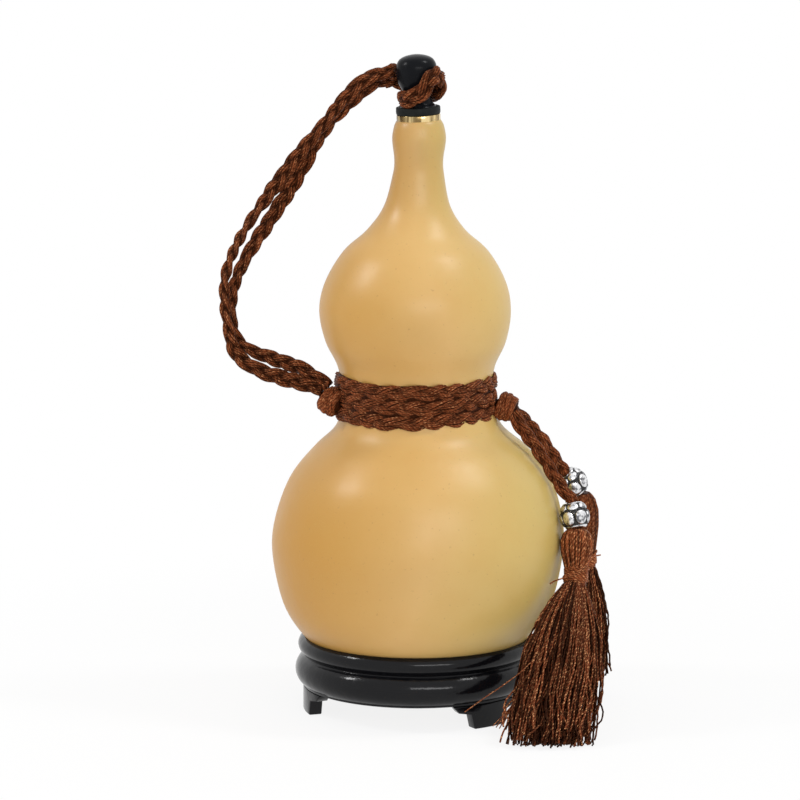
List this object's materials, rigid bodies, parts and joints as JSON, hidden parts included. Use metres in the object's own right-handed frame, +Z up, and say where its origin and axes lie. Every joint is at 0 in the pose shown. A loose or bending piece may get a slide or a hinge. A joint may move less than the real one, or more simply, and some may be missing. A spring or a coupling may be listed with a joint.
{
  "type": "gourd water bottle",
  "caption": "Double-bulb gourd bottle with brass mouth, black stopper, plaited carrying cord with beads and tassels, on a lacquered ring stand.",
  "frame": {"origin": "centre of the box of the bottle and its stand, on the surface it stands on", "axes": "+Z up along the bottle's axis, -Y is the front, +X towards the tassels"},
  "size_m": [0.1641, 0.1368, 0.2719],
  "materials": {
    "gourd_rind": "satin, rubbed dry gourd rind",
    "inner_coating": "satin resin coat",
    "brass": "polished",
    "black_gloss": "gloss",
    "rubber": "matt",
    "silicone": "satin",
    "brown_cord": "silky plaited thread",
    "tassel_yarn": "twisted silky yarn",
    "antique_silver": "embossed, darkened in the recesses",
    "black_lacquer": "gloss black lacquer",
    "dowel_wood": "plain"
  },
  "bodies": {
    "stand": {"stand_ring": "black_lacquer", "foot_left": "black_lacquer", "foot_front": "black_lacquer", "foot_back": "black_lacquer", "foot_dowels": "dowel_wood"},
    "gourd": {"gourd_shell": "gourd_rind", "inner_coat": "inner_coating", "brass_collar": "brass", "waist_wrap": "brown_cord", "left_knot": "brown_cord", "right_knot": "brown_cord", "lanyard_outer_braid": "brown_cord", "lanyard_inner_braid": "brown_cord"},
    "stopper": {"stopper_knob": "black_gloss", "stopper_gasket": "rubber", "stopper_plug": "silicone", "stopper_hitch": "brown_cord"},
    "front_tail": {"front_tail_braid": "brown_cord", "front_tassel_loop": "tassel_yarn", "front_tassel_head": "tassel_yarn", "front_tassel_binding": "tassel_yarn", "front_tassel_skirt": "tassel_yarn"},
    "rear_tail": {"rear_tail_braid": "brown_cord", "rear_tassel_loop": "tassel_yarn", "rear_tassel_head": "tassel_yarn", "rear_tassel_binding": "tassel_yarn", "rear_tassel_skirt": "tassel_yarn"},
    "front_bead": {"front_bead": "antique_silver"},
    "rear_bead": {"rear_bead": "antique_silver"}
  },
  "joints": [
    {"name": "gourd_lift", "type": "slide", "parent": "stand", "child": "gourd", "axis": [0, 0, 1], "range_m": [0, 0.04]},
    {"name": "stopper_pull", "type": "slide", "parent": "gourd", "child": "stopper", "axis": [-0.0436, 0, 0.999], "range_m": [0, 0.03], "deforming": ["lanyard_outer_braid", "lanyard_inner_braid"]},
    {"name": "front_tassel_swing", "type": "hinge", "parent": "gourd", "child": "front_tail", "pos_m": [0.042, -0.0084, 0.1253], "axis": [0, -1, 0], "range_deg": [0, 45]},
    {"name": "rear_tassel_swing", "type": "hinge", "parent": "gourd", "child": "rear_tail", "pos_m": [0.0426, 0.0006, 0.1263], "axis": [0, -1, 0], "range_deg": [0, 45]},
    {"name": "front_bead_spin", "type": "hinge", "parent": "front_tail", "child": "front_bead", "pos_m": [0.06455, -0.0149, 0.08375], "axis": [-0.1797, 0.2567, 0.9497], "continuous": true},
    {"name": "rear_bead_spin", "type": "hinge", "parent": "rear_tail", "child": "rear_bead", "pos_m": [0.06485, 0.0152, 0.0918], "axis": [-0.6077, -0.1027, 0.7875], "continuous": true}
  ]
}
